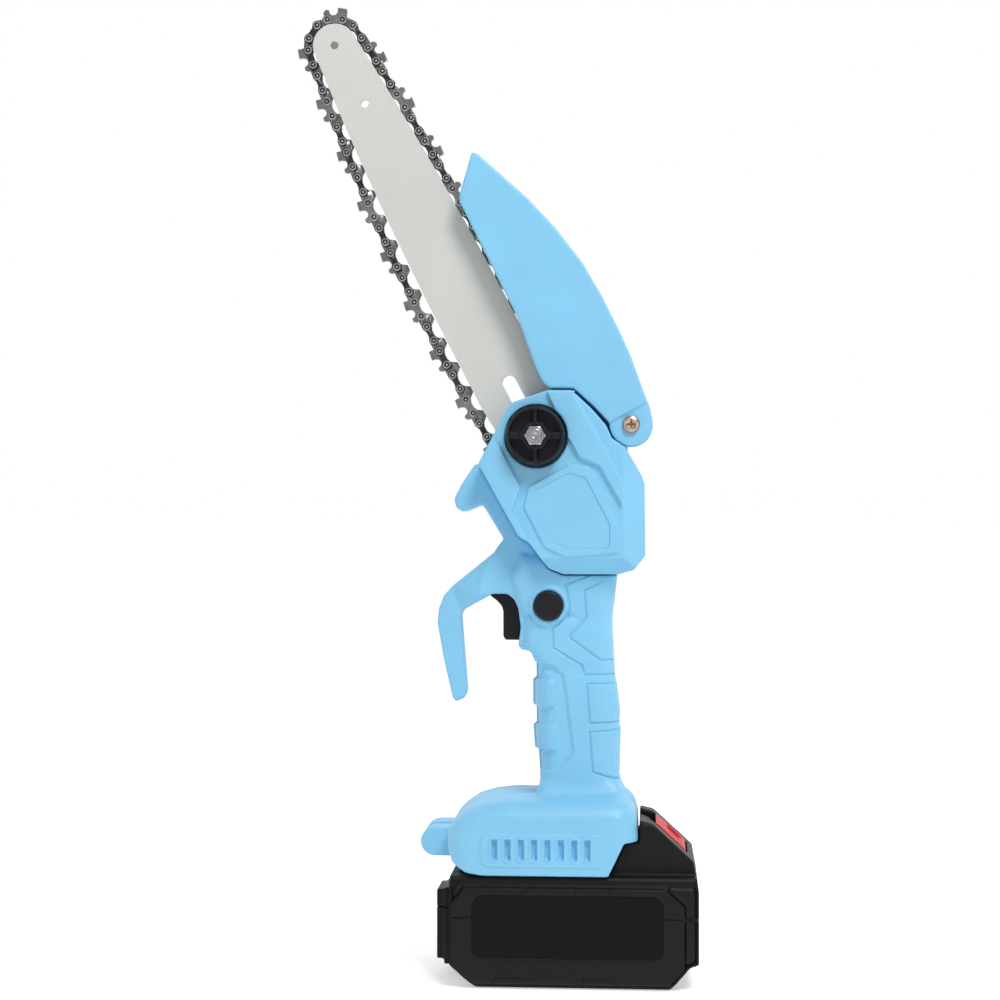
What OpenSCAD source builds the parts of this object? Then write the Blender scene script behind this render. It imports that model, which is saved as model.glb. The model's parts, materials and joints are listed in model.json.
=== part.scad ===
// Cordless pruning chainsaw with a slide-on battery, standing on the battery.
// X runs along the battery, Z is up, and the cover side with the knob faces -Y.
// The origin is the middle of the battery's flat underside.

/* [Bar and chain] */
// Lean of the guide bar from upright, in degrees
bar_lean = 27.4; // [27:0.1:28]
// Distance from the sprocket's centre to the centre of the bar's nose
bar_reach = 233.9; // [233:0.05:234]
// Middle plane of the bar and the chain
bar_y = -12; // [-12.1:0.1:-11.9]
// Radius of the bar's nose
nose_r = 10.1; // [9.8:0.1:10.3]
// How much wider than the nose each side of the bar becomes
bar_belly = 6.6; // [6:0.1:6.8]
// Links between two cutters on the same side
cutter_every = 4; // [4]
// Number of drive links in the loop
drive_links = 44; // [44]
// Teeth of the chain sprocket
sprocket_teeth = 8; // [8]
// Slack in the lower run, at its middle
chain_sag = 3.0; // [0:0.1:3.4]

/* [Body] */
// Half the thickness of the grip
grip_half = 17; // [16:0.5:17.5]
// Half the width of the foot above the battery
foot_half = 36; // [35:0.5:37]
// Half the thickness of the knuckle guard
hook_half = 5.5; // [4.5:0.5:6]
// Thickness of the moulded walls
wall = 2.4; // [2:0.1:2.6]
// Depth of the motor drum on the far side
motor_end = 53.5; // [53:0.5:56]

/* [Battery] */
// Length of the battery's box
pack_length = 108; // [107:0.5:109]
// Half the width of the battery's box
pack_half = 37.5; // [37:0.5:38]
// Height of the battery's deck under the foot
deck_z = 50; // [49.8:0.1:50.1]
// Height of the seam between the battery's two cases
seam_z = 32; // [30:0.5:34]

/* [Gears] */
// Module of the reduction gears
gear_module = 0.9; // [0.9]
// Teeth of the large gear
gear_teeth = 40; // [40]
// Teeth of the motor's pinion
pinion_teeth = 10; // [10]

/* [Hidden] */

$fn = 48;
sliding_gap = 0.1;
shaft_gap = 0.03;

blue = [0.42, 0.73, 0.88];
black = [0.08, 0.08, 0.09];
steel = [0.72, 0.73, 0.75];
dark_steel = [0.16, 0.18, 0.24];
copper = [0.72, 0.45, 0.2];

// ---------- placing helpers ----------

// Extrudes an X-Z outline from y0 to y1.
module between(y0, y1) {
    translate([0, y1, 0]) rotate([90, 0, 0]) linear_extrude(y1 - y0) children();
}

// Extrudes a Y-Z outline from x0 to x1.
module across(x0, x1) {
    translate([x0, 0, 0]) rotate([90, 0, 90]) linear_extrude(x1 - x0) children();
}

module rod(x, z, r, y0, y1) {
    between(y0, y1) translate([x, z]) circle(r);
}

module box(x0, x1, y0, y1, z0, z1) {
    translate([x0, y0, z0]) cube([x1 - x0, y1 - y0, z1 - z0]);
}

// A rectangle with rounded corners, from corner to corner.
module round_rect(x0, x1, y0, y1, r) {
    translate([x0 + r, y0]) square([x1 - x0 - 2 * r, y1 - y0]);
    translate([x0, y0 + r]) square([x1 - x0, y1 - y0 - 2 * r]);
    for (x = [x0 + r, x1 - r], y = [y0 + r, y1 - r]) translate([x, y]) circle(r);
}

function arc(c, r, a0, a1, steps) =
    [for (i = [0:steps]) let (a = a0 + (a1 - a0) * i / steps)
        c + r * [cos(a), sin(a)]];

// Moves every edge of a clockwise or anticlockwise outline inwards by d.
function turned(v) = [-v[1], v[0]];
function unit(v) = v / norm(v);
function outline_area(p) =
    let (n = len(p), parts = [for (i = [0:n - 1]) cross(p[i], p[(i + 1) % n])])
    parts * [for (i = [0:n - 1]) 0.5];
function inset(p, d) =
    let (n = len(p), side = sign(outline_area(p)))
    [for (i = [0:n - 1])
        let (
            a = unit(p[i] - p[(i + n - 1) % n]),
            b = unit(p[(i + 1) % n] - p[i]),
            na = side * turned(a), nb = side * turned(b),
            k = d / (1 + na * nb)
        )
        p[i] + k * (na + nb)];

// A round wire through the points; across is a direction it never runs along.
module wire(points, r, across, sides = 6) {
    last = len(points) - 1;
    function place(i, j) =
        let (
            run = unit(points[min(i + 1, last)] - points[max(i - 1, 0)]),
            u = unit(cross(run, across)), v = cross(run, u), b = 360 * j / sides
        )
        points[i] + r * (cos(b) * u + sin(b) * v);
    skin = [for (i = [0:last - 1], j = [0:sides - 1])
        let (k = (j + 1) % sides)
        [i * sides + j, i * sides + k, (i + 1) * sides + k, (i + 1) * sides + j]];
    ends = [
        [for (j = [sides - 1:-1:0]) j],
        [for (j = [0:sides - 1]) last * sides + j]
    ];
    all_points = [for (i = [0:last], j = [0:sides - 1]) place(i, j)];
    polyhedron(all_points, concat(skin, ends));
}

// A coil spring along +Z.
module coil(r, wire_r, turns, height, steps = 20) {
    n = turns * steps;
    wire([for (i = [0:n]) let (a = 360 * i / steps)
        [r * cos(a), r * sin(a), wire_r + (height - 2 * wire_r) * i / n]],
        wire_r, [0, 0, 1]);
}

// ---------- the bar's own frame: x across the bar, y along it to the tip ----------

nose_x = -109.3;
nose_z = 429.6;
sprocket_x = nose_x + bar_reach * sin(bar_lean);
sprocket_z = nose_z - bar_reach * cos(bar_lean);

module bar_frame() {
    translate([sprocket_x, sprocket_z]) rotate(bar_lean) children();
}

function bar_point(across, along) = [
    sprocket_x + across * cos(bar_lean) - along * sin(bar_lean),
    sprocket_z + across * sin(bar_lean) + along * cos(bar_lean)
];

bar_half_t = 1.7;
plate_t = 1.1;
groove_depth = 5.4;
belly_run = 150;
straight_to = 52;
tail_at = 20.5;
stud_at = 29.9;
slot_top = 58.1;
slot_r = 3.25;
hang_hole = [0, bar_reach - 30.4];
pin_at = [10, 42];

function bar_half(along) =
    let (d = min(max(bar_reach - along, 0), belly_run))
    nose_r + bar_belly * (1 - pow(1 - d / belly_run, 2));

// The bar's right-hand edge from tail to nose, moved in by d.
function bar_edge(d) = concat(
    [[10.5 - d, tail_at + d / 2], [14 - d, 30], [15.7 - d, 40]],
    [for (along = [straight_to:12:bar_reach - 6]) [bar_half(along) - d, along]],
    arc([0, bar_reach], nose_r - d, 0, 90, 8)
);

function mirrored(p) = [for (i = [len(p) - 1:-1:0]) [-p[i][0], p[i][1]]];

module bar_outline(d) {
    edge = bar_edge(d);
    other = mirrored(edge);
    polygon(concat(edge, [for (i = [1:len(other) - 1]) other[i]]));
}

module bar_holes() {
    hull_free_slot(slot_r, stud_at - 0.2, slot_top);
    translate(hang_hole) circle(1.95);
    translate(pin_at) circle(3);
    translate([0, bar_reach]) circle(1.8);
}

module hull_free_slot(r, low, high) {
    translate([0, low]) circle(r);
    translate([0, high]) circle(r);
    translate([-r, low]) square([2 * r, high - low]);
}

module bar_sheet(y0, y1, d) {
    between(y0, y1) bar_frame() difference() {
        bar_outline(d);
        bar_holes();
    }
}

module bar_plate_near() {
    color([0.83, 0.84, 0.81])
        bar_sheet(bar_y - bar_half_t, bar_y - bar_half_t + plate_t, 0);
}

module bar_core() {
    color([0.6, 0.6, 0.6])
        bar_sheet(bar_y - bar_half_t + plate_t, bar_y + bar_half_t - plate_t, groove_depth);
}

module bar_plate_far() {
    color([0.83, 0.84, 0.81])
        bar_sheet(bar_y + bar_half_t - plate_t, bar_y + bar_half_t, 0);
}

module bar_nose_rivet() {
    color([0.6, 0.61, 0.6])
        rod(nose_x, nose_z, 1.8, bar_y - bar_half_t - 0.1, bar_y + bar_half_t + 0.1);
}

// ---------- chain ----------

chain_pitch = 12.7;
drive_span = 5.56;
strap_span = chain_pitch - drive_span;
rail_to_rivet = 2.4;
lobe_r = 2.25;
link_half_t = 0.5;
strap_gap = 0.55;
strap_t = 1.1;
rivet_r = 1;
rivet_hole_r = 1.09;
rivet_head_r = 1.75;
sprocket_pitch_r = sprocket_teeth * chain_pitch / 360 * (180 / PI);

function smooth(u) = let (v = min(max(u, 0), 1)) v * v * (3 - 2 * v);
function run_out(along) = bar_half(along) + rail_to_rivet;
function run_tight(along) = along > 44
    ? run_out(along)
    : sprocket_pitch_r + (run_out(44) - sprocket_pitch_r) * smooth(along / 44);
function run_slack(along) =
    run_tight(along) + chain_sag * sin(180 * along / bar_reach);

run_steps = 60;
chain_route = concat(
    arc([0, 0], sprocket_pitch_r, -90, -6, 14),
    [for (i = [0:run_steps]) let (s = bar_reach * i / run_steps) [run_tight(s), s]],
    arc([0, bar_reach], nose_r + rail_to_rivet, 8, 172, 20),
    [for (i = [run_steps:-1:0]) let (s = bar_reach * i / run_steps) [-run_slack(s), s]],
    arc([0, 0], sprocket_pitch_r, 186, 270, 14)
);
route_count = len(chain_route);
route_lengths = [
    for (i = 0, s = 0; i < route_count;
        s = s + (i + 1 < route_count ? norm(chain_route[i + 1] - chain_route[i]) : 0),
        i = i + 1) s
];
route_total = route_lengths[route_count - 1];
route_x = [for (i = [0:route_count - 1]) [route_lengths[i], chain_route[i][0]]];
route_y = [for (i = [0:route_count - 1]) [route_lengths[i], chain_route[i][1]]];
echo(pitch_on_route = route_total / drive_links);

function wrapped(s) = s < 0 ? s + route_total : s >= route_total ? s - route_total : s;
function on_route(s) = let (w = wrapped(s)) [lookup(w, route_x), lookup(w, route_y)];
route_pitch = route_total / drive_links;
route_drive = route_pitch * drive_span / chain_pitch;
function rivet_at(i) =
    on_route(floor(i / 2) * route_pitch + (i % 2 == 0 ? -0.5 : 0.5) * route_drive);
function rivet(i) = rivet_at(i % (2 * drive_links));

// Puts a link between two rivets, with x along the travel and y away from the bar.
module on_rivets(i) {
    a = rivet(i);
    b = rivet(i + 1);
    d = b - a;
    bar_frame() translate((a + b) / 2) rotate(atan2(d[1], d[0])) mirror([0, 1])
        children();
}

module rivet_holes(span) {
    for (x = [-span / 2, span / 2]) translate([x, 0]) circle(rivet_hole_r);
}

module drive_outline() {
    h = drive_span / 2;
    difference() {
        polygon(concat(
            arc([-h, 0], lobe_r, 200, 90, 5),
            arc([h, 0], lobe_r, 90, -20, 5),
            [[4.6, -1.5], [3.2, -2.3], [1.1, -4.7], [-1.5, -4.7], [-3.2, -2.3], [-4.6, -1.6]]
        ));
        rivet_holes(drive_span);
    }
}

module strap_outline() {
    h = strap_span / 2;
    difference() {
        polygon(concat(
            arc([h, 0], lobe_r, -125, 125, 9), [[1.2, 1.35], [-1.2, 1.35]],
            arc([-h, 0], lobe_r, 55, 305, 9), [[-1.2, -1.35], [1.2, -1.35]]
        ));
        rivet_holes(strap_span);
    }
}

module cutter_outline() {
    h = strap_span / 2;
    difference() {
        polygon(concat(
            arc([-h, 0], lobe_r, 305, 150, 6),
            [[-5.7, 3.2], [-5.6, 4.5], [-1.5, 5.1], [-1.3, 3.6], [-0.4, 2.2], [1.3, 1.9]],
            [[2.3, 2.6], [2.9, 4.3], [4.4, 4.5], [5.5, 3.1]],
            arc([h, 0], lobe_r, 45, -125, 6),
            [[1.2, -1.4], [-1.2, -1.4]]
        ));
        rivet_holes(strap_span);
    }
}

module top_plate_outline() {
    polygon([[-5.65, 3.7], [-5.6, 4.6], [-1.5, 5.2], [-1.45, 4.3]]);
}

// Strap places in the loop: 0 holds a near cutter, half way round its cycle a far one.
function is_near_cutter(i) = i % cutter_every == cutter_phase;
function is_far_cutter(i) = i % cutter_every == (cutter_phase + cutter_every / 2) % cutter_every;
cutter_phase = 1;

module chain_drive_links() {
    color([0.3, 0.3, 0.32]) for (i = [0:drive_links - 1])
        between(bar_y - link_half_t, bar_y + link_half_t) on_rivets(2 * i) drive_outline();
}

module straps(y0, near) {
    for (i = [0:drive_links - 1])
        if (!(near ? is_near_cutter(i) : is_far_cutter(i)))
            between(y0, y0 + strap_t) on_rivets(2 * i + 1) strap_outline();
}

module cutters(y0, near) {
    plate_y0 = near ? y0 - 1.2 : y0 - 1.3;
    for (i = [0:drive_links - 1]) if (near ? is_near_cutter(i) : is_far_cutter(i)) {
        between(y0, y0 + strap_t) on_rivets(2 * i + 1) cutter_outline();
        between(plate_y0, plate_y0 + 3.6) on_rivets(2 * i + 1) top_plate_outline();
    }
}

near_strap_y = bar_y - strap_gap - strap_t;
far_strap_y = bar_y + strap_gap;

module chain_straps_near() { color(dark_steel) straps(near_strap_y, true); }
module chain_straps_far() { color(dark_steel) straps(far_strap_y, false); }
module chain_cutters_near() { color(steel) cutters(near_strap_y, true); }
module chain_cutters_far() { color(steel) cutters(far_strap_y, false); }

module chain_rivets() {
    head = 0.35;
    out = strap_gap + strap_t;
    color(steel) for (i = [0:2 * drive_links - 1]) {
        p = rivet(i);
        q = bar_point(p[0], p[1]);
        rod(q[0], q[1], rivet_r, bar_y - out - 0.01, bar_y + out + 0.01);
        difference() {
            rod(q[0], q[1], rivet_head_r, bar_y - out - head, bar_y - out);
            rod(q[0], q[1], 0.6, bar_y - out - head - 1, bar_y - out - head / 2);
        }
        rod(q[0], q[1], rivet_head_r, bar_y + out, bar_y + out + head);
    }
}

// ---------- drive: sprocket, spindle, gears, motor ----------

sprocket_near = bar_y - 3;
sprocket_far = bar_y + 3;
spindle_r = 4;
tooth_tip_r = sprocket_pitch_r - 2.45;
tooth_root_r = 10.7;
tang_groove_r = 10.95;
tang_groove_half = link_half_t + 0.3;
gear_y = [2, 7];
bearing_r = 8;
bearing_t = 5;
front_bearing_y = -5.8;
rear_bearing_y = 8;
motor_turn = 95;
gear_pitch_r = gear_module * gear_teeth / 2;
pinion_pitch_r = gear_module * pinion_teeth / 2;
gear_distance = gear_pitch_r + pinion_pitch_r;
motor_x = sprocket_x + gear_distance * cos(motor_turn);
motor_z = sprocket_z + gear_distance * sin(motor_turn);
motor_r = 17.9;
motor_y = [13.2, 50.5];

module sprocket() {
    gullet = [[-2.3, tooth_root_r], [2.3, tooth_root_r], [4, 14.2], [-4, 14.2]];
    color([0.5, 0.5, 0.52]) difference() {
        union() {
            rod(sprocket_x, sprocket_z, tooth_tip_r, sprocket_near, sprocket_far);
            rod(sprocket_x, sprocket_z, 7, sprocket_near, sprocket_far + 0.8);
        }
        rod(sprocket_x, sprocket_z, spindle_r + 0.01, -30, 5);
        between(-30, 5) bar_frame()
            for (i = [0:sprocket_teeth - 1])
                rotate(360 * i / sprocket_teeth) polygon(gullet);
        // The chain's tangs run in this groove, clear of both rows of teeth.
        between(bar_y - tang_groove_half, bar_y + tang_groove_half)
            translate([sprocket_x, sprocket_z]) difference() {
                circle(tooth_tip_r + 1);
                circle(tang_groove_r);
            }
    }
}

module sprocket_clip() {
    y = sprocket_near - 1.1;
    color(steel) between(y, y + 0.8) translate([sprocket_x, sprocket_z]) difference() {
        circle(6.6);
        circle(3.3);
        rotate(-100) translate([-2.2, 0]) square([4.4, 10]);
    }
}

module spindle() {
    clip = sprocket_near - 1.2;
    color(steel) difference() {
        rod(sprocket_x, sprocket_z, spindle_r, -18.5, rear_bearing_y + bearing_t);
        between(clip, clip + 1) translate([sprocket_x, sprocket_z]) difference() {
            circle(spindle_r + 1);
            circle(3.25);
        }
    }
}

// A gear outline with straight-sided teeth, one tooth pointing along +x.
function gear_points(teeth, shrink) =
    let (pitch_r = gear_module * teeth / 2, step = 360 / teeth)
    [for (i = [0:teeth - 1], k = [0:3])
        let (
            tip = pitch_r + gear_module * 0.9,
            root = pitch_r - gear_module * 1.2,
            wide = step * (0.36 - shrink), slim = step * (0.16 - shrink / 2),
            r = k == 0 || k == 3 ? root : tip,
            a = i * step + (k == 0 ? -wide : k == 1 ? -slim : k == 2 ? slim : wide)
        )
        r * [cos(a), sin(a)]];

module drive_gear() {
    color([0.35, 0.36, 0.38]) difference() {
        union() {
            between(gear_y[0], gear_y[1]) translate([sprocket_x, sprocket_z])
                rotate(motor_turn + 180 / gear_teeth) polygon(gear_points(gear_teeth, 0.03));
            rod(sprocket_x, sprocket_z, 7, gear_y[0] - 1, gear_y[1] + 0.8);
        }
        rod(sprocket_x, sprocket_z, spindle_r + 0.01, -5, 20);
        for (a = [0:60:300])
            rod(sprocket_x + 11.5 * cos(a), sprocket_z + 11.5 * sin(a), 2.6, -5, 20);
    }
}

module motor_pinion() {
    color([0.8, 0.66, 0.35]) difference() {
        between(gear_y[0] - 0.5, gear_y[1] + 0.5) translate([motor_x, motor_z])
            rotate(motor_turn) polygon(gear_points(pinion_teeth, 0.03));
        rod(motor_x, motor_z, 1.61, -5, 20);
    }
}

module ring(x, z, r_out, r_in, y0, y1) {
    between(y0, y1) translate([x, z]) difference() {
        circle(r_out);
        circle(r_in);
    }
}

module spindle_bearings() {
    color(steel) for (y = [front_bearing_y, rear_bearing_y]) difference() {
        ring(sprocket_x, sprocket_z, bearing_r, spindle_r + shaft_gap, y, y + bearing_t);
        for (side = [y - 1, y + bearing_t - 0.4])
            ring(sprocket_x, sprocket_z, 6.9, 5, side, side + 1.4);
    }
}

gear_plate_y = [8, 13];
plate_bolts = [-10, 190, 250, 290];
function plate_bolt(i) = let (a = plate_bolts[i], far = i < 2)
    (far ? [motor_x, motor_z] : [sprocket_x, sprocket_z]) + (far ? 21 : 22) * [cos(a), sin(a)];

module gear_plate() {
    color([0.7, 0.71, 0.72]) difference() {
        between(gear_plate_y[0], gear_plate_y[1]) {
            translate([sprocket_x, sprocket_z]) circle(20);
            translate([motor_x, motor_z]) circle(18);
            for (i = [0:3]) translate(plate_bolt(i)) circle(4);
        }
        rod(sprocket_x, sprocket_z, bearing_r + 0.01, 0, 30);
        rod(motor_x, motor_z, 6.2, 0, 30);
        for (i = [0:3]) let (p = plate_bolt(i)) rod(p[0], p[1], 1.6, 0, 30);
        for (a = [0, 180]) rod(motor_x + 12.5 * cos(a), motor_z + 12.5 * sin(a), 1.6, 0, 30);
    }
}

module gear_plate_screws() {
    color(steel) for (i = [0:3]) let (p = plate_bolt(i)) {
        rod(p[0], p[1], 1.5, gear_plate_y[0] - 1.9, gear_plate_y[1] + 3.6);
        rod(p[0], p[1], 2.8, gear_plate_y[0] - 1.9, gear_plate_y[0]);
    }
    color(steel) for (a = [0, 180]) {
        x = motor_x + 12.5 * cos(a);
        z = motor_z + 12.5 * sin(a);
        rod(x, z, 1.5, gear_plate_y[0] - 1.9, motor_y[0] + 1);
        rod(x, z, 2.8, gear_plate_y[0] - 1.9, gear_plate_y[0]);
    }
}

module motor_can() {
    cap = 1.8;
    color([0.6, 0.62, 0.64]) difference() {
        rod(motor_x, motor_z, motor_r, motor_y[0], motor_y[1]);
        rod(motor_x, motor_z, motor_r - 1.2, motor_y[0] + cap, motor_y[1] - cap);
        rod(motor_x, motor_z, 1.6 + shaft_gap, 0, 60);
        for (a = [0, 180])
            rod(motor_x + 12.5 * cos(a), motor_z + 12.5 * sin(a), 1.5, 10, motor_y[0] + 1);
    }
}

module motor_magnets() {
    color([0.2, 0.2, 0.22]) difference() {
        ring(motor_x, motor_z, motor_r - 1.25, 12.9, motor_y[0] + 4, motor_y[1] - 6);
        box(motor_x - 30, motor_x + 30, 0, 60, motor_z - 4, motor_z + 4);
    }
}

module motor_shaft() {
    color(steel) rod(motor_x, motor_z, 1.6, gear_y[0] - 1, motor_y[1] + 0.5);
}

module motor_armature() {
    slot_n = 5;
    color(copper) difference() {
        union() {
            rod(motor_x, motor_z, 12.2, motor_y[0] + 6, motor_y[1] - 12);
            rod(motor_x, motor_z, 4.5, motor_y[0] + 2.5, motor_y[1] - 3.5);
        }
        rod(motor_x, motor_z, 1.61, 0, 60);
        for (i = [0:slot_n - 1])
            between(0, motor_y[1] - 10) translate([motor_x, motor_z])
                rotate(360 * i / slot_n) translate([7, -1.2]) square([10, 2.4]);
    }
}

// ---------- outlines of the moulded body ----------

grip_low = [
    [-16.4, 146], [-16.3, 137], [-16.3, 116], [-15.3, 103], [-14.2, 94], [-12.8, 84], [-12.8, 70],
    [21, 70], [21.9, 97.3], [22.3, 111.4], [21.7, 123.9], [20, 138], [19, 146]
];
grip_middle = [
    [-24, 153], [-23.6, 150.6], [-19, 150], [-16.4, 144], [-14, 138],
    [20, 138], [19, 148], [18.4, 158], [18.3, 170], [-23, 170], [-23, 161]
];
// What is missing from the grip below the trigger's ledge.
below_trigger = [[-30, 150.6], [-19, 150.2], [-18.2, 149.2], [-16.4, 144.6], [-16.3, 137], [-30, 137]];
grip_top = [[-26.5, 174], [-22.9, 166], [18.3, 162], [18.6, 172], [21.7, 190], [-24, 196], [-29, 184]];
neck_outline = [
    [-31.9, 200.6], [-35.1, 196.2], [-42, 184], [-42.3, 176.4], [-29.4, 176.3],
    [-26.4, 174], [-24.4, 170], [-23.2, 161], [-24.4, 152], [0, 150], [10, 186], [-4, 206]
];
hook_outline = [
    [-29.6, 202.3], [-35.4, 195.7], [-55.6, 179.5], [-59.5, 175], [-61.8, 169],
    [-62.4, 162.5], [-59.5, 145.7], [-55.3, 127.6], [-53.8, 125.8], [-49.8, 127.6],
    [-48.6, 131], [-51.5, 165.8], [-50.3, 168.4], [-42.3, 176.4], [-29, 176.4]
];
nose_outline = [
    [-44.3, 236.1], [-50.4, 227], [-53.9, 220.2], [-53, 216], [-49.9, 213.9],
    [-41.5, 217.3], [-40, 216.2], [-31.4, 202], [-28, 197], [-14, 208], [-22, 236]
];
head_outline = [
    [-41.8, 235.8], [-34.8, 249.3], [-28.2, 261.9], [-25.8, 264], [-12.3, 268.6],
    [-10.5, 269.3], [0.8, 269.3], [9.8, 260.8], [16.2, 253.5], [19, 247.4],
    [25, 243.4], [32.5, 230.4], [33.6, 226.8], [34, 194], [28.9, 187.7], [22, 185.6],
    [-3.4, 185.6], [-9.8, 188.2], [-18.6, 199.9], [-23.5, 202.9]
];
foot_outline = [
    [-55.6, 69], [-54.4, 72], [-50.9, 75.6], [-44.8, 79.9], [-36.7, 82.3], [-27.6, 83.4],
    [21.3, 84.4], [25.8, 83.1], [28.8, 79.4], [30.3, 74], [30.8, 65.2], [30.8, 30], [-55.6, 30]
];
below_foot = [
    [-80, 0], [-80, 63], [-55.8, 63], [-53.2, 56], [-47, 51.8], [-39, 50.4],
    [17.4, 50.4], [24.6, 65.4], [60, 65.4], [60, 0]
];
ear_outline = concat([[-52, 56]], arc([-62.6, 62.6], 6.6, 270, 90, 9), [[-52, 69.2]]);

// The hollows inside the grip, the neck, the knuckle guard and the nose.
grip_room = [
    [-13.7, 139], [-15.2, 134], [-15.2, 127], [-13.7, 120], [-14.4, 113], [-14, 105],
    [-12.2, 100], [-10.4, 80], [18.4, 80], [19.9, 111], [17.6, 138], [15.8, 158],
    [16.8, 179], [17.6, 186], [-18, 189], [-20.6, 161], [-21.4, 152.6]
];
// Lowest and highest z, front and back x of the grip room's two rounded parts.
grip_room_parts = [[78, 153.1, -14.6, 19.9], [153, 200, -20.6, 17.6]];
neck_room = [[-33, 199], [-39, 184], [-39, 179], [-26, 179], [-20, 158], [0, 155], [7, 186], [-5, 202]];
hook_room = [
    [-36, 192.6], [-54, 178], [-57.4, 173], [-59.8, 162.5], [-55, 141], [-54, 167.6], [-44, 179], [-30, 179]
];
nose_room = [[-41, 231], [-46, 223], [-38, 223], [-28, 207], [-17, 211], [-22, 231]];

trigger_z = 159;
button_x = -10.2;
button_z = 171.2;
button_r = 6.7;
lug_x = 27.6;
lug_z = 253.8;
lug_y = [-20.6, -3.4];
pivot_r = 2;
ceiling_z = 62.7;
rail_half = 20.5;
flange_half = 25.5;

// The hollow of the foot, above the battery's rails.
foot_room = [
    [-47.5, ceiling_z + wall], [-47.5, 72.4], [-42, 77], [-34, 79.9], [-27, 81],
    [20.6, 82], [24.8, 80.6], [26.6, 77], [27.4, ceiling_z + wall]
];

screw_places = [
    [-34, 224], [24, 196], [-31, 193], [-56, 158],
    [13.4, 150], [16.2, 98], [-46.5, 72.5], [25, 78.5]
];
boss_near = [5, 5, 12, 4, 12, 12, 12, 12];
boss_far = [12, 16.5, 12, 4, 12, 12, 12, 12];
screw_depth = [4, 4, 8, 3, 8, 8, 8, 8];
screw_seat = [9, 9, 9, 3.2, 9, 9, 9, 9];

// A convex outline, thickened towards one side with its outer edges rounded by r.
module rounded_half(points, half, r, near) {
    steps = 4;
    hull() for (k = [0:steps]) {
        a = 90 * k / steps;
        h = half - r * (1 - sin(a));
        between(near ? -h : 0, near ? 0 : h) polygon(inset(points, r * (1 - cos(a))));
    }
}

module foot_block(near) {
    difference() {
        rounded_half(foot_outline, foot_half, 10, near);
        between(-50, 50) polygon(below_foot);
    }
}

module grip_block(near) {
    rounded_half(grip_low, grip_half, 9, near);
    difference() {
        rounded_half(grip_middle, grip_half, 9, near);
        between(-50, 50) polygon(below_trigger);
    }
    rounded_half(grip_top, grip_half, 7, near);
    // The grip's flared base, where it meets the foot.
    hull() {
        across(-14, 22.2) half_round(grip_half, 90, near);
        across(-17, 25) half_round(grip_half + 4.5, 80, near);
    }
}

// A low strip across the grip, half wide, at height z.
module half_round(half, z, near) {
    translate([near ? -half : 0, z - 1]) square([half, 2]);
}

// What both halves of the body share; depth signs follow y0 and y1.
module body_block(near) {
    function span(d) = near ? [-d, 0] : [0, d];
    n = span(13);
    h = span(hook_half);
    e = near ? [-16, -2.4] : [2.4, 16];
    grip_block(near);
    foot_block(near);
    between(n[0], n[1]) polygon(neck_outline);
    between(h[0], h[1]) polygon(hook_outline);
    // The neck narrows into the knuckle guard.
    hull() {
        between(n[0], n[1]) polygon([[-33, 197], [-36.6, 193.6], [-42.3, 176.4], [-36, 176.4]]);
        between(h[0], h[1]) polygon([[-46, 187.2], [-55.6, 179.5], [-52, 170], [-50.3, 168.4], [-45, 173.7]]);
    }
    between(n[0], n[1]) polygon(nose_outline);
    between(e[0], e[1]) polygon(ear_outline);
    rod(button_x, button_z, 8.8, near ? -grip_half - 1.2 : 10, near ? -10 : grip_half + 1.2);
}

// The hollow inside both halves, under walls of even thickness.
module body_hollow(near) {
    function span(d) = near ? [-d, 1] : [-1, d];
    g = span(grip_half - wall);
    n = span(13 - wall);
    h = span(hook_half - wall);
    for (part = grip_room_parts) intersection() {
        between(g[0], g[1]) polygon(grip_room);
        translate([0, 0, part[0]]) linear_extrude(part[1] - part[0])
            round_rect(part[2], part[3], -grip_half + wall, grip_half - wall, 9.6);
    }
    between(n[0], n[1]) polygon(neck_room);
    between(n[0], n[1]) polygon(nose_room);
    between(h[0], h[1]) polygon(hook_room);
    foot_hollow(near);
}

module foot_hollow(near) {
    a = near ? -1 : 1;
    side = [a * (foot_half - wall), a * (flange_half + wall)];
    between(min(0, a * 26), max(0, a * 26)) polygon(foot_room);
    box(-40, 14, min(side), max(side), 53, 76);
    // The pack's rails slide in here.
    box(-50.8, 40, min(0, a * rail_half), max(0, a * rail_half), 40, ceiling_z);
    box(-50.8, 40, min(0, a * flange_half), max(0, a * flange_half), 54.8, ceiling_z);
    box(-40.2, -23.8, a * 11 - 0.45, a * 11 + 0.45, 60, 70);
}

module trigger_way() {
    box(-45, -10, -6.4, 6.4, 151, 177.2);
}

module boss(p, r, y0, y1) {
    rod(p[0], p[1], r, y0, y1);
}

vent_from = -33.7;
vent_step = 5.98;
vent_depth = 1.3;

module vents(y0, y1) {
    for (i = [0:7]) between(y0, y1)
        round_rect(vent_from + i * vent_step - 1.25, vent_from + i * vent_step + 1.25,
            58, 66.8, 0.8);
}

// The seats of the screws that join the halves.
module near_bosses() {
    for (i = [0:len(screw_places) - 1]) boss(screw_places[i], i == 3 ? 2.6 : 3.4, -boss_near[i], 0);
}

module far_bosses() {
    for (i = [0:len(screw_places) - 1]) boss(screw_places[i], i == 3 ? 2.6 : 4.2, 0, boss_far[i]);
}

module near_screw_holes() {
    for (i = [0:len(screw_places) - 1]) boss(screw_places[i], 1.25, -screw_depth[i] - 0.5, 1);
}

module far_screw_holes() {
    for (i = [0:len(screw_places) - 1]) {
        boss(screw_places[i], 1.6, -1, 60);
        boss(screw_places[i], 3, screw_seat[i], 60);
    }
}

module tension_channel() {
    between(-12, -2) bar_frame() translate([5.6, 31]) square([8.8, 19]);
}

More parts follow.
